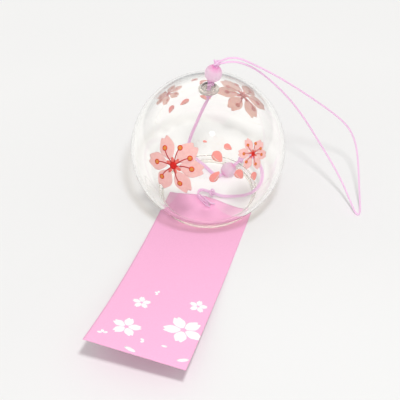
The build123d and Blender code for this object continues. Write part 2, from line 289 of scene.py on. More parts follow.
def paper_material():
    """Smooth pink card with a faint fibre grain."""
    material, tree, output = new_material("pink_card")
    grain = textured(tree, "ShaderNodeTexNoise", Scale=1400.0, Detail=6.0, Roughness=0.6)
    ramp = add(tree, "ShaderNodeValToRGB")
    fill_ramp(ramp, [(0.25, tone(248, 181, 217)), (0.75, tone(253, 188, 223))])
    link(tree, grain.outputs["Fac"], ramp.inputs["Fac"])
    body = add(tree, "ShaderNodeBsdfPrincipled", Roughness=0.55)
    body.inputs["Specular IOR Level"].default_value = 0.35
    link(tree, ramp.outputs["Color"], body.inputs["Base Color"])
    roughen(tree, grain.outputs["Fac"], body, strength=0.08, depth=0.05)
    link(tree, body.outputs[0], output.inputs["Surface"])
    return material


def cord_material():
    """Pale pink braided nylon with a fine weave and a soft sheen."""
    material, tree, output = new_material("pink_cord")
    weave = textured(tree, "ShaderNodeTexVoronoi", Scale=3500.0)
    ramp = add(tree, "ShaderNodeValToRGB")
    fill_ramp(ramp, [(0.0, tone(255, 236, 252)), (0.8, tone(253, 222, 246))])
    link(tree, weave.outputs["Distance"], ramp.inputs["Fac"])
    body = add(tree, "ShaderNodeBsdfPrincipled", Roughness=0.42)
    body.inputs["Sheen Weight"].default_value = 0.25
    roughen(tree, weave.outputs["Distance"], body, strength=0.35, depth=0.06)
    let_light_through(tree, ramp, body, CORD_BACK_SHARE, output)
    return material


def bead_material():
    """Pink acrylic, with painted light pale through its middle and painted shade deeper pink towards the
    bore's ends.
    """
    material, tree, output = new_material("pink_acrylic")
    # Painted light and shade, by how far along the bore each point lies
    depth = add(tree, "ShaderNodeAttribute", attribute_name=BORE_SHARE)
    ramp = add(tree, "ShaderNodeValToRGB")
    fill_ramp(ramp, [
        (0.0, tone(255, 250, 254)),
        (0.55, tone(255, 242, 251)),
        (0.85, tone(255, 210, 238)),
        (1.0, tone(254, 164, 218)),
    ])
    link(tree, depth.outputs["Fac"], ramp.inputs["Fac"])
    body = add(tree, "ShaderNodeBsdfPrincipled", Roughness=0.06, IOR=1.49)
    body.inputs["Transmission Weight"].default_value = 0.35
    body.inputs["Coat Weight"].default_value = 0.5
    body.inputs["Coat Roughness"].default_value = 0.03
    let_light_through(tree, ramp, body, BEAD_BACK_SHARE, output)
    return material


def clear_plastic_material():
    """The slightly milky plastic of the washer."""
    material, tree, output = new_material("clear_plastic")
    scuffs = textured(tree, "ShaderNodeTexNoise", Scale=700.0, Detail=4.0)
    dull = add(tree, "ShaderNodeMapRange")
    dull.inputs["To Min"].default_value = 0.08
    dull.inputs["To Max"].default_value = 0.3
    link(tree, scuffs.outputs["Fac"], dull.inputs["Value"])
    body = add(tree, "ShaderNodeBsdfPrincipled", IOR=1.45)
    link(tree, dull.outputs["Result"], body.inputs["Roughness"])
    body.inputs["Base Color"].default_value = tone(226, 221, 212)
    body.inputs["Transmission Weight"].default_value = 0.5
    link(tree, body.outputs[0], output.inputs["Surface"])
    return material


# Mesh helpers
def mesh_object(name, points, faces, material, body):
    """A mesh piece from points in this script's measure, riding on a body."""
    mesh = bpy.data.meshes.new(name)
    mesh.from_pydata([place(p) for p in points], [], faces)
    mesh.materials.append(material)
    shape = bmesh.new()
    shape.from_mesh(mesh)
    bmesh.ops.recalc_face_normals(shape, faces=shape.faces)
    shape.to_mesh(mesh)
    shape.free()
    mesh.polygons.foreach_set("use_smooth", [True] * len(mesh.polygons))
    mesh.update()
    piece = bpy.data.objects.new(name, mesh)
    bpy.context.scene.collection.objects.link(piece)
    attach(piece, body)
    return piece


class Shapes:
    """Points and faces gathered for one piece."""

    def __init__(self):
        self.points = []
        self.faces = []
        self.inner = []

    def skin(self, lower, upper):
        """A thin closed shell between two grids of the same size."""
        rows, columns = len(lower), len(lower[0])
        start = len(self.points)
        for grid in (lower, upper):
            for row in grid:
                self.points.extend(row)
        half = rows * columns

        def at(layer, i, j):
            return start + layer * half + i * columns + j
        for i in range(rows - 1):
            for j in range(columns - 1):
                self.faces.append((at(1, i, j), at(1, i + 1, j), at(1, i + 1, j + 1), at(1, i, j + 1)))
                self.inner.append(len(self.faces))
                self.faces.append((at(0, i, j + 1), at(0, i + 1, j + 1), at(0, i + 1, j), at(0, i, j)))
        for i in range(rows - 1):
            self.faces.append((at(0, i, 0), at(0, i + 1, 0), at(1, i + 1, 0), at(1, i, 0)))
            k = columns - 1
            self.faces.append((at(0, i + 1, k), at(0, i, k), at(1, i, k), at(1, i + 1, k)))
        for j in range(columns - 1):
            self.faces.append((at(0, 0, j + 1), at(0, 0, j), at(1, 0, j), at(1, 0, j + 1)))
            k = rows - 1
            self.faces.append((at(0, k, j), at(0, k, j + 1), at(1, k, j + 1), at(1, k, j)))


def lathe(name, profile, material, body, steps, centre=(0, 0, 0), way=(0, 0, 1)):
    """A surface turned from a closed profile of (radius, height) about a line through centre."""
    turn = Vector((0, 0, 1)).rotation_difference(Vector(way))
    points, faces = [], []
    for i in range(steps):
        angle = 2 * pi * i / steps
        for radius, height in profile:
            point = turn @ Vector((radius * cos(angle), radius * sin(angle), height))
            points.append(Vector(centre) + point)
    count = len(profile)
    for i in range(steps):
        k = (i + 1) % steps
        for j in range(count):
            m = (j + 1) % count
            faces.append((i * count + j, k * count + j, k * count + m, i * count + m))
    return mesh_object(name, points, faces, material, body)


def arc(centre, radius, start, end, steps):
    """Points along an arc in the profile plane, angles in degrees."""
    points = []
    for i in range(steps + 1):
        angle = radians(start + (end - start) * i / steps)
        points.append((centre[0] + radius * cos(angle), centre[1] + radius * sin(angle)))
    return points


# The glass. The hole's edges turn through these angles, in degrees, outside and inside
EDGE_TOP_ARC = (176, 96)
EDGE_FOOT_ARC = (264, 184)


def globe_profile():
    """The closed outline of the globe's wall, from the hole down the outside and back up inside."""
    fillet_x = NECK_RADIUS + NECK_FILLET
    fillet_z = GLOBE_Z - sqrt((GLOBE_RADIUS + NECK_FILLET) ** 2 - fillet_x**2)
    fillet_at = (fillet_x, fillet_z)
    low = degrees(atan2(fillet_z - GLOBE_Z, fillet_x))
    edge = HOLE_RADIUS + HOLE_EDGE_ROUND
    outer_top = degrees(atan2(sqrt(GLOBE_RADIUS**2 - edge**2), edge))
    inner_top = degrees(atan2(sqrt(INNER_RADIUS**2 - edge**2), edge))
    top_z = GLOBE_Z + sqrt(GLOBE_RADIUS**2 - edge**2) - HOLE_EDGE_ROUND
    low_z = GLOBE_Z + sqrt(INNER_RADIUS**2 - edge**2) + HOLE_EDGE_ROUND
    lip_z = RIM_Z + LIP_RADIUS - LIP_FLAT_DEPTH
    lip_x = NECK_RADIUS - WALL / 2
    half = degrees(asin(WALL / 2 / LIP_RADIUS))
    flat = degrees(asin((LIP_RADIUS - LIP_FLAT_DEPTH) / LIP_RADIUS))
    outline = arc((edge, top_z), HOLE_EDGE_ROUND, *EDGE_TOP_ARC, EDGE_STEPS)
    outline += arc((0, GLOBE_Z), GLOBE_RADIUS, outer_top, low, GLOBE_ARC_STEPS)
    outline += arc(fillet_at, NECK_FILLET, 180 + low, 180, FILLET_STEPS)
    outline += arc((lip_x, lip_z), LIP_RADIUS, 90 - half, -flat, LIP_STEPS)
    outline += arc((lip_x, lip_z), LIP_RADIUS, 180 + flat, 90 + half, LIP_STEPS)
    outline += arc(fillet_at, NECK_FILLET + WALL, 180, 180 + low, FILLET_STEPS)
    outline += arc((0, GLOBE_Z), INNER_RADIUS, low, inner_top, GLOBE_ARC_STEPS)
    outline += arc((edge, low_z), HOLE_EDGE_ROUND, *EDGE_FOOT_ARC, EDGE_STEPS)
    return outline


def make_globe(material, rim, hole_edge):
    """The globe, clear but for its ground rim and the ground edge of its hole."""
    globe = lathe("glass_globe", globe_profile(), material, "bell", GLOBE_ROUND_STEPS)
    globe.data.materials.append(rim)
    globe.data.materials.append(hole_edge)
    for face in globe.data.polygons:
        reach = hypot(face.center.x, face.center.y - AXIS_Y * MM)
        if face.center.z < (RIM_Z + GROUND_HEIGHT) * MM:
            face.material_index = 1
        elif reach < (HOLE_RADIUS + HOLE_EDGE_ROUND) * MM:
            face.material_index = 2
    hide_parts("glass_bell")
    return globe


# Painted blossoms
class OnGlobe:
    """Flat drawing coordinates round one spot of the globe: x to the right, y up, seen from outside."""

    def __init__(self, azimuth, elevation):
        a, e = radians(azimuth), radians(elevation)
        self.out = Vector((cos(e) * cos(a), cos(e) * sin(a), sin(e)))
        self.right = Vector((-sin(a), cos(a), 0))
        self.up = self.out.cross(self.right)

    def at(self, x, y, lift):
        reach = hypot(x, y)
        if reach == 0:
            way = self.out
        else:
            angle = reach / GLOBE_RADIUS
            aside = (self.right * x + self.up * y) / reach
            way = self.out * cos(angle) + aside * sin(angle)
        return Vector((0, 0, GLOBE_Z)) + way * (GLOBE_RADIUS + lift)


class OnStrip:
    """Drawing coordinates on the strip: x across it, y towards its tied end, from one spot."""

    def __init__(self, across, along, squash=1.0):
        self.across = across
        self.along = along
        self.squash = squash

    def at(self, x, y, lift):
        across = min(self.across + x, STRIP_WIDTH / 2)
        along = min(self.along - y * self.squash, STRIP_LENGTH)
        return strip_point(across, along, STRIP_THICKNESS + lift)


# A petal's outline: how it swells from foot to tip, how wide its notch is and how its shoulders fall
PETAL_ROWS = 14
PETAL_COLUMNS = 20
PETAL_FOOT_SHARE = 0.06
PETAL_SWELL_SHARE = 0.68
PETAL_SWELL_POWER = 1.1
PETAL_FULLNESS = 0.85
LOBE_SHARE = 0.4
SHOULDER_SHARE = 0.25

# A round dab's sides, and the rings that its skin runs through
DISC_SIDES = 20
DISC_RING_SHARES = (0.02, 0.5, 1)


def petal_grid(spot, turn, start, length, width, notch, lift, lean=0.0):
    """A notched petal from its foot to its two-lobed tip, as a grid on a surface."""
    grid = []
    for i in range(PETAL_ROWS + 1):
        t = i / PETAL_ROWS
        swell = PETAL_FOOT_SHARE + PETAL_SWELL_SHARE * t**PETAL_SWELL_POWER
        half = width * sin(pi * swell) ** PETAL_FULLNESS
        row = []
        for j in range(PETAL_COLUMNS + 1):
            s = 2 * j / PETAL_COLUMNS - 1
            dip = notch * max(0, 1 - abs(s) / LOBE_SHARE)
            dip += SHOULDER_SHARE * (max(0, abs(s) - LOBE_SHARE) / (1 - LOBE_SHARE)) ** 2
            along = start + (length - start) * t * (1 - dip + lean * s)
            across = half * s
            x = along * cos(turn) - across * sin(turn)
            y = along * sin(turn) + across * cos(turn)
            row.append(spot.at(x, y, lift))
        grid.append(row)
    return grid


def petal(shapes, spot, turn, start, length, width, notch, low, high, lean=0.0):
    """A petal as a thin closed dab of paint."""
    shapes.skin(petal_grid(spot, turn, start, length, width, notch, low, lean),
                petal_grid(spot, turn, start, length, width, notch, high, lean))


def disc(shapes, spot, centre, radius, low, high, stretch=1.0, turn=0.0):
    """A round or oval dab of paint."""
    def ring(share, lift):
        row = []
        for i in range(DISC_SIDES + 1):
            angle = 2 * pi * i / DISC_SIDES
            x, y = radius * share * stretch * cos(angle), radius * share * sin(angle)
            row.append(spot.at(centre[0] + x * cos(turn) - y * sin(turn),
                               centre[1] + x * sin(turn) + y * cos(turn), lift))
        return row
    shapes.skin([ring(s, low) for s in DISC_RING_SHARES], [ring(s, high) for s in DISC_RING_SHARES])


def stroke(shapes, spot, line, width, low, high):
    """A brush line through points, with a width at each of them."""
    lower, upper = [], []
    for i, (x, y) in enumerate(line):
        before, after = line[max(i - 1, 0)], line[min(i + 1, len(line) - 1)]
        dx, dy = after[0] - before[0], after[1] - before[1]
        size = hypot(dx, dy)
        half = (width[i] if isinstance(width, list) else width) / 2
        aside = (-dy / size * half, dx / size * half)
        for grid, lift in ((lower, low), (upper, high)):
            grid.append([spot.at(x + aside[0] * k, y + aside[1] * k, lift) for k in (-1, 1)])
    shapes.skin(lower, upper)


# The big blossom: petals and stamens, turns in degrees and lengths in mm
PETAL_TURNS = [128, 57, 7, -49, -112, -174]
PETAL_LENGTHS = [13.8, 14.1, 14.3, 14.1, 13.6, 13.9]
PETAL_LEAN_SHARES = [-0.035, -0.03, 0.0, -0.02, 0.035, 0.0]
PETAL_WIDTHS = [4.0, 4.6, 4.2, 4.0, 4.05, 4.2]
PETAL_START = 3.2
PETAL_NOTCH_SHARE = 0.085
STAMEN_TURNS = [135, 83, 39, 6, -59, -124, -172]
STAMEN_LENGTH = 8.8
STAMEN_BEND = 6
STAMEN_WIDTH = 0.54
STAMEN_TAPER = 0.14
STAMEN_STEPS = 8
ANTHER_RADIUS = 1.27
POLLEN_SHARE = 0.70
CENTRE_RADIUS = 1.75
SEPAL_TURNS = [112, 62, 165, -15, -58, -112]
SEPAL_REACH = 2.2
SEPAL_STAGGER = 0.3
SEPAL_RADIUS = 0.8
SEPAL_STRETCH = 2.1
SMALL_SHARE = 0.555
SMALL_TURN = -33

PAINT_LOW = 0.01
PAINT_STEP = 0.03


class Paints:
    """The globe's paint, one set of shapes for each colour."""

    def __init__(self):
        self.petals = Shapes()
        self.hearts = Shapes()
        self.stamens = Shapes()
        self.anthers = Shapes()
        self.pollen = Shapes()
        self.centres = Shapes()
        self.loose = Shapes()
        self.lines = Shapes()


def blossom_on_globe(paints, azimuth, elevation, scale, turn):
    """One painted cherry blossom with its petals, heart, stamens and anthers."""
    spot = OnGlobe(azimuth, elevation)
    rest = radians(turn)
    rows = zip(PETAL_TURNS, PETAL_LENGTHS, PETAL_WIDTHS, PETAL_LEAN_SHARES)
    for petal_turn, length, width, lean in rows:
        way = radians(petal_turn) + rest
        petal(paints.petals, spot, way, PETAL_START * scale, length * scale, width * scale,
              PETAL_NOTCH_SHARE, PAINT_LOW + PAINT_STEP, PAINT_LOW + 2 * PAINT_STEP, lean)
    for i, sepal_turn in enumerate(SEPAL_TURNS):
        way = radians(sepal_turn) + rest
        reach = (SEPAL_REACH + SEPAL_STAGGER * (i % 2)) * scale
        disc(paints.hearts, spot, (reach * cos(way), reach * sin(way)), SEPAL_RADIUS * scale,
             PAINT_LOW + PAINT_STEP / 2, PAINT_LOW + 3 * PAINT_STEP, stretch=SEPAL_STRETCH, turn=way)
    for stamen_turn in STAMEN_TURNS:
        way = radians(stamen_turn) + rest
        line, widths = [], []
        for i in range(STAMEN_STEPS + 1):
            t = i / STAMEN_STEPS
            bend = radians(STAMEN_BEND) * sin(pi * t) * (1 if stamen_turn > 0 else -1)
            reach = STAMEN_LENGTH * t * scale
            line.append((reach * cos(way + bend), reach * sin(way + bend)))
            widths.append((STAMEN_WIDTH - STAMEN_TAPER * t) * scale)
        stroke(paints.stamens, spot, line[1:], widths[1:], PAINT_LOW, PAINT_LOW + 4 * PAINT_STEP)
        tip = (STAMEN_LENGTH * scale * cos(way), STAMEN_LENGTH * scale * sin(way))
        disc(paints.anthers, spot, tip, ANTHER_RADIUS * scale, PAINT_LOW - PAINT_STEP / 6,
             PAINT_LOW + 5 * PAINT_STEP)
        disc(paints.pollen, spot, tip, ANTHER_RADIUS * POLLEN_SHARE * scale, PAINT_LOW - PAINT_STEP / 4,
             PAINT_LOW + 6 * PAINT_STEP)
    disc(paints.centres, spot, (0, 0), CENTRE_RADIUS * scale, PAINT_LOW - PAINT_STEP / 4,
         PAINT_LOW + 5 * PAINT_STEP)


# A loose petal's drop shape, and the pale line inside its edge
DROP_ROWS = 12
DROP_COLUMNS = 8
DROP_FOOT_SHARE = 0.03
DROP_SWELL_SHARE = 0.95
DROP_SWELL_POWER = 0.74
DROP_FULLNESS = 0.8
LINE_STEPS = 8
LINE_START_SHARE = 0.2
LINE_SPAN_SHARE = 0.6
LINE_INSET_SHARE = 0.62
LINE_FOOT_SHARE = 0.04
LINE_SWELL_SHARE = 0.92
LINE_SWELL_POWER = 0.8
LINE_FULLNESS = 0.7
LINE_WIDTH_SHARE = 0.09


def loose_petal(paints, azimuth, elevation, length, width, turn):
    """A fallen petal: one coral drop with a paler line inside its edge."""
    spot = OnGlobe(azimuth, elevation)
    way = radians(turn)
    grids = []
    for lift in (PAINT_LOW, PAINT_LOW + 2 * PAINT_STEP):
        grid = []
        for i in range(DROP_ROWS + 1):
            t = i / DROP_ROWS
            swell = DROP_FOOT_SHARE + DROP_SWELL_SHARE * t**DROP_SWELL_POWER
            half = width / 2 * sin(pi * swell) ** DROP_FULLNESS
            along = length * (t - 0.5)
            row = []
            for j in range(DROP_COLUMNS + 1):
                across = half * (2 * j / DROP_COLUMNS - 1)
                row.append(spot.at(along * cos(way) - across * sin(way),
                                   along * sin(way) + across * cos(way), lift))
            grid.append(row)
        grids.append(grid)
    paints.loose.skin(*grids)
    line = []
    for i in range(LINE_STEPS + 1):
        t = LINE_START_SHARE + LINE_SPAN_SHARE * i / LINE_STEPS
        swell = LINE_FOOT_SHARE + LINE_SWELL_SHARE * t**LINE_SWELL_POWER
        across = -width / 2 * LINE_INSET_SHARE * sin(pi * swell) ** LINE_FULLNESS
        along = length * (t - 0.5)
        line.append((along * cos(way) - across * sin(way), along * sin(way) + across * cos(way)))
    stroke(paints.lines, spot, line, LINE_WIDTH_SHARE * length, PAINT_LOW - PAINT_STEP / 5,
           PAINT_LOW + 3 * PAINT_STEP)


# Blossoms as azimuth, elevation, scale and turn; loose petals as azimuth, elevation, length, width, turn
BLOSSOMS = [
    (-99.5, 25.8, 1.0, 0),
    (-34.1, 30.8, SMALL_SHARE, SMALL_TURN),
    (77.3, 14.6, 1.07, -8),
    (143.6, 19.2, SMALL_SHARE * 1.08, SMALL_TURN),
]
LOOSE_PETALS = [
    (-75.5, 45.9, 2.0, 1.1, -10),
    (-64.6, 35.6, 5.8, 4.6, -52),
    (-54.6, 41.0, 3.9, 2.9, -40),
    (-67.4, 22.0, 6.0, 3.9, 48),
    (-49.0, 20.7, 5.2, 4.3, -62),
    (-37.7, 15.2, 4.4, 3.4, -85),
    (102.0, 34.0, 2.0, 1.1, -10),
    (112.0, 26.0, 5.8, 4.6, -52),
    (121.0, 32.0, 3.9, 2.9, -40),
    (110.2, 5.5, 6.2, 3.6, 20),
    (127.4, 2.6, 5.6, 3.4, -30),
    (139.4, -0.6, 4.9, 3.4, -62),
]


def make_paint():
    """All the paint on the globe."""
    paints = Paints()
    for blossom in BLOSSOMS:
        blossom_on_globe(paints, *blossom)
    for loose in LOOSE_PETALS:
        loose_petal(paints, *loose)
    colours = {
        "petals": (tone(255, 217, 215), tone(255, 220, 204)),
        "hearts": (tone(255, 142, 130), tone(246, 150, 138)),
        "stamens": (tone(214, 60, 68), tone(230, 116, 108)),
        "anthers": (tone(250, 84, 56), tone(248, 142, 126)),
        "pollen": (tone(255, 184, 92), tone(252, 164, 138)),
        "centres": (tone(244, 46, 38), tone(228, 102, 94)),
        "loose": (tone(255, 182, 174), tone(255, 186, 174)),
        "lines": (tone(255, 232, 224), tone(255, 226, 212)),
    }
    for name, (colour, inside) in colours.items():
        shapes = getattr(paints, name)
        material = paint_material("paint_" + name, colour)
        piece = mesh_object("painted_" + name, shapes.points, shapes.faces, material, "bell")
        piece.data.materials.append(paint_material("paint_inside_" + name, inside))
        for face in shapes.inner:
            piece.data.polygons[face].material_index = 1


# The strip
def dome_height(reach):
    """The height of the strip's domed end over the table, by its distance from the bell's axis."""
    bend = (TONGUE_REACH**2 + TONGUE_RISE**2) / (4 * TONGUE_RISE)
    if reach >= TONGUE_REACH:
        return 0
    if reach > TONGUE_REACH / 2:
        return bend - sqrt(bend**2 - (TONGUE_REACH - reach) ** 2)
    return TONGUE_RISE - bend + sqrt(bend**2 - reach**2)


def strip_point(across, along, lift):
    """A point of the curled strip, lifted off its lower side."""
    over = along * cos(CURL_SKEW) - across * sin(CURL_SKEW)
    beside = along * sin(CURL_SKEW) + across * cos(CURL_SKEW)
    bent = max(0, over - CURL_START)
    flat = min(over, CURL_START) + CURL_RADIUS * sin(bent / CURL_RADIUS)
    rise = CURL_RADIUS * (1 - cos(bent / CURL_RADIUS))
    x = STRIP_OFFSET - flat * sin(CURL_SKEW) + beside * cos(CURL_SKEW)
    y = -STRIP_INSET - flat * cos(CURL_SKEW) - beside * sin(CURL_SKEW)
    end_share = (max(0, along - END_START) / (STRIP_LENGTH - END_START)) ** 2
    corner_share = end_share * (0.5 - across / STRIP_WIDTH)
    height = rise + END_RISE * end_share + CORNER_RISE * corner_share + dome_height(hypot(x, y)) + lift
    return Vector((x + END_SHIFT * end_share, y - CORNER_REACH * corner_share, height))


def make_strip(material):
    """The strip as a closed card, with its punched hole cut out."""
    lower, upper = [], []
    for j in range(STRIP_ROWS + 1):
        along = STRIP_LENGTH * j / STRIP_ROWS
        line = [STRIP_WIDTH * (i / STRIP_COLUMNS - 0.5) for i in range(STRIP_COLUMNS + 1)]
        lower.append([strip_point(u, along, 0) for u in line])
        upper.append([strip_point(u, along, STRIP_THICKNESS) for u in line])
    shapes = Shapes()
    shapes.skin(lower, upper)
    strip = mesh_object("paper_strip", shapes.points, shapes.faces, material, "strip")
    hole_at = strip_point(0, TIE_HOLE_INSET, 0)
    bpy.ops.mesh.primitive_cylinder_add(radius=TIE_HOLE_RADIUS * MM, depth=TIE_PUNCH_DEPTH * MM,
                                        vertices=TIE_HOLE_SIDES, location=place(hole_at))
    punch = bpy.context.active_object
    cut = strip.modifiers.new("hole", "BOOLEAN")
    cut.object = punch
    cut.solver = "EXACT"
    bpy.context.view_layer.update()
    cut_mesh = bpy.data.meshes.new_from_object(
        strip.evaluated_get(bpy.context.evaluated_depsgraph_get()))
    strip.modifiers.clear()
    strip.data = cut_mesh
    bpy.data.objects.remove(punch)
    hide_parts("tanzaku_strip")
    return strip


# Prints: how high the ink lies over the card, and a printed petal's shape
PRINT_LOW = 0.01
PRINT_HIGH = 0.03
PRINT_SQUASH_SHARE = 0.85
PRINT_PETAL_TURN = 72
PRINT_START_SHARE = 0.14
PRINT_WIDTH_SHARE = 0.31
PRINT_NOTCH_SHARE = 0.12

# Blossoms: across and along the strip, radius, turn of the first petal in degrees, petals drawn
PRINTS = [
    (14.2, 83.7, 9.0, 54, 5),
    (-8.5, 74.8, 4.3, 30, 5),
    (15.8, 67.5, 4.3, 18, 5),
    (-3.6, 66.4, 1.9, 100, 3),
    (-9.0, 91.5, 6.6, 90, 5),
    (-16.6, 99.0, 2.4, 40, 3),
    (1.2, 96.5, 2.2, 160, 2),
]

# Single petals: across and along the strip, length, width and turn
LONE_PRINTS = [
    (-2.6, 103.6, 5.4, 1.9, -14),
    (9.8, 96.2, 2.6, 1.3, 5),
    (19.4, 100.9, 5.2, 1.9, 28),
]


def make_prints(material):
    """White blossoms and petals printed on the card."""
    shapes = Shapes()
    for across, along, radius, turn, count in PRINTS:
        spot = OnStrip(across, along, squash=PRINT_SQUASH_SHARE)
        for i in range(count):
            way = radians(turn + PRINT_PETAL_TURN * i)
            petal(shapes, spot, way, PRINT_START_SHARE * radius, radius, PRINT_WIDTH_SHARE * radius,
                  PRINT_NOTCH_SHARE, PRINT_LOW, PRINT_HIGH)
    for across, along, length, width, turn in LONE_PRINTS:
        spot = OnStrip(across, along)
        disc(shapes, spot, (0, 0), width / 2, PRINT_LOW, PRINT_HIGH, stretch=length / width,
             turn=radians(turn))
    prints = mesh_object("printed_blossoms", shapes.points, shapes.faces, material, "strip")
    return prints


# Cords
LOOP_ROUTE = [
    (3.3, 1.1, 82.5),
    (5.7, 1.3, 83.9),
    (8.6, 2.2, 85.4),
    (13.0, 4.2, 84.9),
    (19.0, 7.8, 80.2),
    (27.0, 13.2, 73.2),
    (36.2, 18.1, 65.0),
    (45.2, 23.4, 55.9),
    (53.4, 28.6, 46.9),
    (59.6, 32.0, 39.9),
    (64.4, 33.2, 34.0),
    (67.9, 31.8, 28.5),
    (70.4, 28.6, 23.4),
    (72.4, 24.6, 18.0),
    (74.4, 20.2, 12.0),
    (76.3, 16.0, 6.3),
    (77.7, 12.8, 2.4),
    (78.2, 10.6, 0.9),
    (77.6, 9.1, 0.6),
    (76.2, 9.2, 1.0),
    (74.3, 10.8, 2.9),
    (71.2, 13.6, 6.4),
    (66.6, 17.0, 12.2),
    (59.8, 19.7, 21.0),
    (51.4, 21.9, 31.2),
    (43.8, 22.4, 42.0),
    (36.4, 21.2, 52.6),
    (28.6, 17.4, 63.6),
    (20.8, 11.4, 74.6),
    (14.2, 5.9, 81.4),
    (9.4, 2.6, 83.4),
    (6.1, 1.3, 82.6),
    (3.5, 1.0, 81.95),
]
CLAPPER_ROUTE = [
    (-1.2, 1.3, 59.4),
    (-3.7, 3.6, 53.2),
    (-8.0, 7.3, 41.2),
    (-12.7, 11.6, 27.6),
    (-15.9, 15.5, 17.0),
    (-16.4, 18.9, 9.6),
    (-12.9, 19.2, 4.5),
    (-8.2, 18.6, 1.9),
    (-3.2, 15.6, 1.0),
    (0.4, 13.1, 0.95),
]
TAIL_ROUTE = [
    (15.9, 23.4, 11.6),
    (19.3, 20.7, 12.9),
    (23.3, 16.3, 13.6),
    (26.4, 11.2, 13.0),
    (27.4, 6.2, 10.8),
    (25.2, 2.4, 7.4),
    (20.8, 0.9, 4.2),
    (15.2, 0.2, 2.4),
    (9.8, -1.2, 2.0),
]
TIE_LOOP_ROUTE = [
    (-2.5, -2.9, 4.4),
    (-3.6, -5.2, 4.8),
    (-2.4, -7.9, 4.8),
    (0.6, -9.4, 4.6),
    (3.2, -9.9, 3.6),
    (3.6, -9.6, 1.7),
    (1.6, -8.2, 0.9),
    (-1.6, -6.3, 1.0),
    (-4.4, -3.6, 2.0),
    (-4.0, -1.5, 3.5),
]
TIE_END_ROUTES = [
    [(-3.4, -6.9, 3.9), (-1.4, -8.8, 3.8), (1.4, -10.4, 3.4), (4.0, -11.5, 2.9), (5.3, -11.4, 2.7)],
    [(-2.2, -6.6, 4.6), (0.6, -8.0, 4.9), (3.4, -9.5, 4.7), (5.6, -10.0, 3.7), (6.8, -9.2, 3.4)],
]


# Steps along and round a cord, and the shape of a tied knot
CORD_STEPS = 8
CORD_ROUND_STEPS = 4
KNOT_STEPS = 6
KNOT_POINTS = 30
KNOT_SPREAD = 0.50
KNOT_RISE = 0.72
TIE_KNOT_SIZE_SHARE = 1.2


def cord_piece(name, route, body, material, steps, ring=False):
    """A round cord on one smooth spline through the air, joined up with itself if it is a ring."""
    curve = bpy.data.curves.new(name, "CURVE")
    curve.dimensions = "3D"
    curve.bevel_depth = CORD / 2 * MM
    curve.bevel_resolution = CORD_ROUND_STEPS
    curve.resolution_u = steps
    curve.use_fill_caps = not ring
    spline = curve.splines.new("NURBS")
    spline.points.add(len(route) - 1)
    for point, where in zip(spline.points, route):
        point.co = (*place(where), 1)
    spline.order_u = 3
    spline.use_endpoint_u = not ring
    spline.use_cyclic_u = ring
    curve.materials.append(material)
    piece = bpy.data.objects.new(name, curve)
    bpy.context.scene.collection.objects.link(piece)
    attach(piece, body)
    return piece


def cord_curve(name, route, body, material):
    """A stretch of cord in its route's shape, with closed ends."""
    return cord_piece(name, route, body, material, CORD_STEPS)


def side_by_side(route):
    """Two routes that lie level beside the given one, for a cord laid double."""
    middle = [Vector(p) for p in route]
    last = len(middle) - 1
    pair = []
    for sign in (1, -1):
        strand = []
        for i, point in enumerate(middle):
            if i <= 1:
                along = middle[1] - middle[0]
            elif i >= last - 1:
                along = middle[last] - middle[last - 1]
            else:
                along = middle[i + 1] - middle[i - 1]
            side = Vector((along.y, -along.x, 0)).normalized()
            strand.append(point + side * (sign * HALF_PAIR))
        pair.append(strand)
    return pair


def tied_knot(name, centre, way, body, node, material, size=1.0):
    """A tightened overhand knot: one tube that goes round through itself."""
    tilt = Vector((0, 0, 1)).rotation_difference(Vector(way))
    route = []
    for i in range(KNOT_POINTS):
        t = 2 * pi * i / KNOT_POINTS
        local = Vector((
            KNOT_SPREAD * size * (sin(t) + 2 * sin(2 * t)),
            KNOT_SPREAD * size * (cos(t) - 2 * cos(2 * t)),
            -KNOT_RISE * size * sin(3 * t),
        ))
        route.append(Vector(centre) + tilt @ local)
    piece = cord_piece(name, route, body, material, KNOT_STEPS, ring=True)
    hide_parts(node)
    return piece


def make_knots(material):
    """Every knot, by the name of its node."""
    places = [
        ("stopper_knot", STOPPER, (0, 0, 1), "hanger", 1.0),
        ("collar_knot", COLLAR, LEAN_WAY, "hanger", 1.0),
        ("top_knot", TOP_KNOT, LEAN_WAY, "hanger", 1.0),
        ("clapper_knot", CLAPPER_KNOT, CLAPPER_WAY, "clapper", 1.0),
        ("tie_knot", TIE_KNOT, TIE_WAY, "clapper", TIE_KNOT_SIZE_SHARE),
    ]
    knots = {}
    for node, centre, way, body, size in places:
        knots[node] = tied_knot(node + "_tied", centre, way, body, node, material, size)
    return knots


def make_outer_cords(material):
    """The hanging loop, and the two strands that stand up through the hole."""
    loop = cord_curve("hanging_loop_cord", LOOP_ROUTE, "loop", material)
    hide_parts("hanging_loop")
    stem_side = Vector((cos(VIEW_TURN), sin(VIEW_TURN), 0))
    for sign, name in ((1, "right"), (-1, "left")):
        shift = stem_side * (sign * HALF_PAIR)
        route = [point + shift for point in (STOPPER, HANGER_FOOT, COLLAR, UPPER_BEAD, TOP_KNOT)]
        stem = cord_curve("stem_cord_" + name, route, "hanger", material)
        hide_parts("stem_cord_lower", "stem_cord_upper")


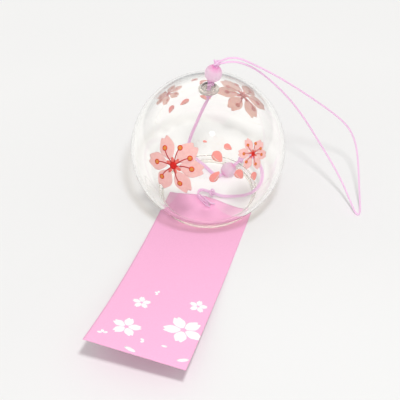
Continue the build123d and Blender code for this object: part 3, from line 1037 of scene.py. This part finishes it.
def make_inner_cords(material, knots):
    """The doubled cord inside the globe: down to its bead, and its tail on to the tie knot."""
    clapper = [STOPPER, STOPPER - Vector((0, 0, KNOT_END)), *CLAPPER_ROUTE,
               CLAPPER_BEAD - CLAPPER_WAY * BEAD_ENTRY_REACH,
               CLAPPER_KNOT - CLAPPER_WAY * KNOT_END, CLAPPER_KNOT]
    strands = zip(side_by_side(clapper), ("left", "right"), ([knots["clapper_knot"]], []))
    for route, name, on_it in strands:
        piece = cord_curve("clapper_cord_" + name, route, "clapper", material)
        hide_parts("clapper_cord")
    tail = [CLAPPER_KNOT, CLAPPER_KNOT + CLAPPER_WAY * (KNOT_END + KNOT_LEAD), *TAIL_ROUTE,
            TIE_KNOT - TIE_WAY * (KNOT_END + KNOT_LEAD), TIE_KNOT]
    for route, name in zip(side_by_side(tail), ("left", "right")):
        piece = cord_curve("tail_cord_" + name, route, "clapper", material)
        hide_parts("tail_cord")


def make_tie(material):
    """The loop through the strip's hole, and the cord's two short ends beside it."""
    ends = [cord_curve("tie_end_%d" % (i + 1), route, "clapper", material)
            for i, route in enumerate(TIE_END_ROUTES)]
    side = Vector((TIE_WAY.y, -TIE_WAY.x, 0)).normalized() * HALF_PAIR
    out = TIE_KNOT + TIE_WAY * (KNOT_END + KNOT_LEAD)
    route = [TIE_KNOT - side, out - side, *TIE_LOOP_ROUTE, out + side, TIE_KNOT + side]
    tie = cord_curve("tie_loop_cord", route, "clapper", material)
    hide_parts("tie_loop")


def make_cords(material):
    """The whole of the cord, from its loop to the strip."""
    knots = make_knots(material)
    make_outer_cords(material)
    make_inner_cords(material, knots)
    make_tie(material)


# Beads
def make_bead(name, centre, way, body, node, material):
    """A round bead turned with its bore and softened bore edges."""
    end = sqrt(BEAD_RADIUS**2 - (BEAD_BORE + BORE_EDGE_REACH) ** 2)
    low = degrees(atan2(-end, BEAD_BORE + BORE_EDGE_REACH))
    edge_x, edge_z = BEAD_BORE + BORE_EDGE_RADIUS, end - BORE_EDGE_DEPTH
    profile = arc((0, 0), BEAD_RADIUS, low, -low, BEAD_ARC_STEPS)
    profile += arc((edge_x, edge_z), BORE_EDGE_RADIUS, 180 - BORE_EDGE_TURN, 180, EDGE_STEPS)
    profile += arc((edge_x, -edge_z), BORE_EDGE_RADIUS, 180, 180 + BORE_EDGE_TURN, EDGE_STEPS)
    bead = lathe(name, profile, material, body, BEAD_ROUND_STEPS, centre=centre, way=way)
    # How far along the bore each point lies, for the bead's painted light and shade
    depth = bead.data.attributes.new(BORE_SHARE, "FLOAT", "POINT")
    middle, axis = place(centre), Vector(way).normalized()
    for vertex, share in zip(bead.data.vertices, depth.data):
        share.value = abs((vertex.co - middle).dot(axis)) / (BEAD_RADIUS * MM)
    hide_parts(node)
    return bead


# Washer
def dress_washer(material):
    """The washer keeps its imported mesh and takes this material."""
    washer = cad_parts["hole_washer"]
    washer.data.materials.clear()
    washer.data.materials.append(material)


# Stage: the light, and the table, which gives way to a dim room between two distances
SKY_LIGHT = 0.66
LAMP_LIGHT = 0.55
LAMP_PLACE = Vector((84, -152, 350))
LAMP_SIZE = 48.0
LAMP_POWER = LAMP_LIGHT * pi**2 * (LAMP_PLACE.z * MM) ** 2
ROOM_TONE = (0.34, 0.345, 0.37, 1)
FAR_START = 400.0
FAR_END = 620.0
FLOOR_SIZE = 6000.0
FLOOR_SPAN = 1200.0
FLOOR_STEPS = 8
FLOOR_DROP = 0.03
FLOOR_TONE = 0.915
FLOOR_SHADE_LIMIT = 0.96
# Painted light: the glow added to the table where it is seen through glass
PAINTED_GLOW_THROUGH_GLASS = 0.11
SHADE_TINT_SHARES = (1, 1, 0.995)
EXTRA_TINT_SHARES = (1, 0.995, 0.985)
PAINTED_GLOW_TINT_SHARES = (1, 1, 0.9)


def tinted(level, shares):
    """A grey of that level, with a share of it in red, green and blue."""
    return (*[level * share for share in shares], 1)


def make_floor():
    """A plain pale table top. What the near lamp leaves dimmer far off is made up to an even white.
    Where glass shows it, a painted glow brightens it.
    """
    material, tree, output = new_material("pale_table")
    coords = add(tree, "ShaderNodeTexCoord")
    offset = add(tree, "ShaderNodeVectorMath", operation="SUBTRACT")
    offset.inputs[1].default_value = place((LAMP_PLACE.x, LAMP_PLACE.y, 0))
    link(tree, coords.outputs["Object"], offset.inputs[0])
    distance = add(tree, "ShaderNodeVectorMath", operation="LENGTH")
    link(tree, offset.outputs[0], distance.inputs[0])
    span = add(tree, "ShaderNodeMath", operation="MULTIPLY")
    span.inputs[1].default_value = 1 / (FLOOR_SPAN * MM)
    link(tree, distance.outputs["Value"], span.inputs[0])
    shades, extras = add(tree, "ShaderNodeValToRGB"), add(tree, "ShaderNodeValToRGB")
    shade_stops, extra_stops = [], []
    for i in range(FLOOR_STEPS + 1):
        reach = FLOOR_SPAN * i / FLOOR_STEPS
        fall = (LAMP_PLACE.z**2 / (LAMP_PLACE.z**2 + reach**2)) ** 2
        light = SKY_LIGHT + LAMP_LIGHT * fall
        shade = min(FLOOR_TONE / light, FLOOR_SHADE_LIMIT)
        extra = max(0.0, FLOOR_TONE - shade * light)
        shade_stops.append((i / FLOOR_STEPS, tinted(shade, SHADE_TINT_SHARES)))
        extra_stops.append((i / FLOOR_STEPS, tinted(extra, EXTRA_TINT_SHARES)))
    fill_ramp(shades, shade_stops)
    fill_ramp(extras, extra_stops)
    link(tree, span.outputs[0], shades.inputs["Fac"])
    link(tree, span.outputs[0], extras.inputs["Fac"])
    body = add(tree, "ShaderNodeBsdfDiffuse")
    link(tree, shades.outputs["Color"], body.inputs["Color"])
    glow = add(tree, "ShaderNodeEmission")
    link(tree, extras.outputs["Color"], glow.inputs["Color"])
    link(tree, seen_directly(tree), glow.inputs["Strength"])
    both = add(tree, "ShaderNodeAddShader")
    link(tree, body.outputs[0], both.inputs[0])
    link(tree, glow.outputs[0], both.inputs[1])
    # Painted light: the table glows brighter wherever it is seen through glass
    through = add(tree, "ShaderNodeEmission")
    through.inputs["Color"].default_value = tinted(PAINTED_GLOW_THROUGH_GLASS, PAINTED_GLOW_TINT_SHARES)
    sent = add(tree, "ShaderNodeLightPath")
    link(tree, sent.outputs["Is Transmission Ray"], through.inputs["Strength"])
    total = add(tree, "ShaderNodeAddShader")
    link(tree, both.outputs[0], total.inputs[0])
    link(tree, through.outputs[0], total.inputs[1])
    far = add(tree, "ShaderNodeValToRGB")
    fill_ramp(far, [(FAR_START / FLOOR_SPAN, (0, 0, 0, 1)), (FAR_END / FLOOR_SPAN, (1, 1, 1, 1))])
    link(tree, span.outputs[0], far.inputs["Fac"])
    path = add(tree, "ShaderNodeLightPath")
    bounced = add(tree, "ShaderNodeMath", operation="MAXIMUM")
    link(tree, path.outputs["Is Glossy Ray"], bounced.inputs[0])
    link(tree, path.outputs["Is Transmission Ray"], bounced.inputs[1])
    room_share = add(tree, "ShaderNodeMath", operation="MULTIPLY")
    link(tree, far.outputs["Color"], room_share.inputs[0])
    link(tree, bounced.outputs[0], room_share.inputs[1])
    room = add(tree, "ShaderNodeEmission", Strength=1.0)
    room.inputs["Color"].default_value = ROOM_TONE
    shown = add(tree, "ShaderNodeMixShader")
    link(tree, room_share.outputs[0], shown.inputs[0])
    link(tree, total.outputs[0], shown.inputs[1])
    link(tree, room.outputs[0], shown.inputs[2])
    link(tree, shown.outputs[0], output.inputs["Surface"])
    bpy.ops.mesh.primitive_plane_add(size=FLOOR_SIZE * MM, location=(0, 0, -FLOOR_DROP * MM))
    floor = bpy.context.active_object
    floor.name = "table_top"
    floor.data.materials.append(material)


def seen_directly(tree):
    """One for rays from the camera and those that glass and gloss send on, else zero."""
    path = add(tree, "ShaderNodeLightPath")
    first = add(tree, "ShaderNodeMath", operation="MAXIMUM")
    link(tree, path.outputs["Is Camera Ray"], first.inputs[0])
    link(tree, path.outputs["Is Glossy Ray"], first.inputs[1])
    second = add(tree, "ShaderNodeMath", operation="MAXIMUM")
    link(tree, first.outputs[0], second.inputs[0])
    link(tree, path.outputs["Is Transmission Ray"], second.inputs[1])
    return second.outputs[0]


def make_world():
    """Even studio light, and the bright white surroundings that glass and gloss show."""
    world = bpy.data.worlds.new("studio")
    bpy.context.scene.world = world
    world.use_nodes = True
    tree = world.node_tree
    tree.nodes.clear()
    output = tree.nodes.new("ShaderNodeOutputWorld")
    sky = add(tree, "ShaderNodeBackground", Strength=SKY_LIGHT)
    sky.inputs["Color"].default_value = (1.0, 0.995, 0.985, 1)
    coords = add(tree, "ShaderNodeTexCoord")
    apart = add(tree, "ShaderNodeSeparateXYZ")
    link(tree, coords.outputs["Generated"], apart.inputs[0])
    ramp = add(tree, "ShaderNodeValToRGB")
    fill_ramp(ramp, [
        (0.0, ROOM_TONE),
        (0.16, (0.45, 0.46, 0.48, 1)),
        (0.34, (1.15, 1.14, 1.12, 1)),
        (0.75, (1.15, 1.14, 1.12, 1)),
        (1.0, (1.0, 1.0, 1.0, 1)),
    ])
    link(tree, apart.outputs["Z"], ramp.inputs["Fac"])
    plain = add(tree, "ShaderNodeBackground", Strength=1.0)
    link(tree, ramp.outputs["Color"], plain.inputs["Color"])
    mix = add(tree, "ShaderNodeMixShader")
    link(tree, seen_directly(tree), mix.inputs[0])
    link(tree, sky.outputs[0], mix.inputs[1])
    link(tree, plain.outputs[0], mix.inputs[2])
    link(tree, mix.outputs[0], output.inputs["Surface"])


def make_lamp():
    """The near soft lamp whose shadows the photograph shows."""
    data = bpy.data.lights.new("key", "AREA")
    data.shape = "DISK"
    data.size = LAMP_SIZE * MM
    data.energy = LAMP_POWER
    lamp = bpy.data.objects.new("key", data)
    lamp.location = place(LAMP_PLACE)
    lamp.visible_glossy = False
    bpy.context.scene.collection.objects.link(lamp)


def make_camera():
    """The camera where the photograph was taken."""
    data = bpy.data.cameras.new("photo_view")
    data.lens = CAMERA_LENS
    data.sensor_width = SENSOR
    data.sensor_fit = "HORIZONTAL"
    data.clip_start = CLIP_START * MM
    camera = bpy.data.objects.new("photo_view", data)
    camera.location = place(CAMERA_PLACE)
    camera.rotation_euler = (pi / 2 - CAMERA_PITCH, 0, VIEW_TURN)
    bpy.context.scene.collection.objects.link(camera)
    bpy.context.scene.camera = camera


make_camera()
make_world()
make_lamp()
make_floor()
make_globe(glass_material(), ground_material("ground_rim", tone(250, 246, 236), clear_share=0.55),
           ground_material("ground_hole", tone(222, 217, 210), clear_share=0.7))
make_paint()
make_strip(paper_material())
make_prints(paint_material("white_print", tone(252, 250, 252), back_share=0.0))
make_cords(cord_material())
acrylic = bead_material()
make_bead("upper_bead_round", UPPER_BEAD, LEAN_WAY, "top_bead", "upper_bead", acrylic)
make_bead("clapper_bead_round", CLAPPER_BEAD, CLAPPER_WAY, "clapper_ball", "clapper_bead", acrylic)
dress_washer(clear_plastic_material())

bpy.context.scene.view_settings.view_transform = "Standard"
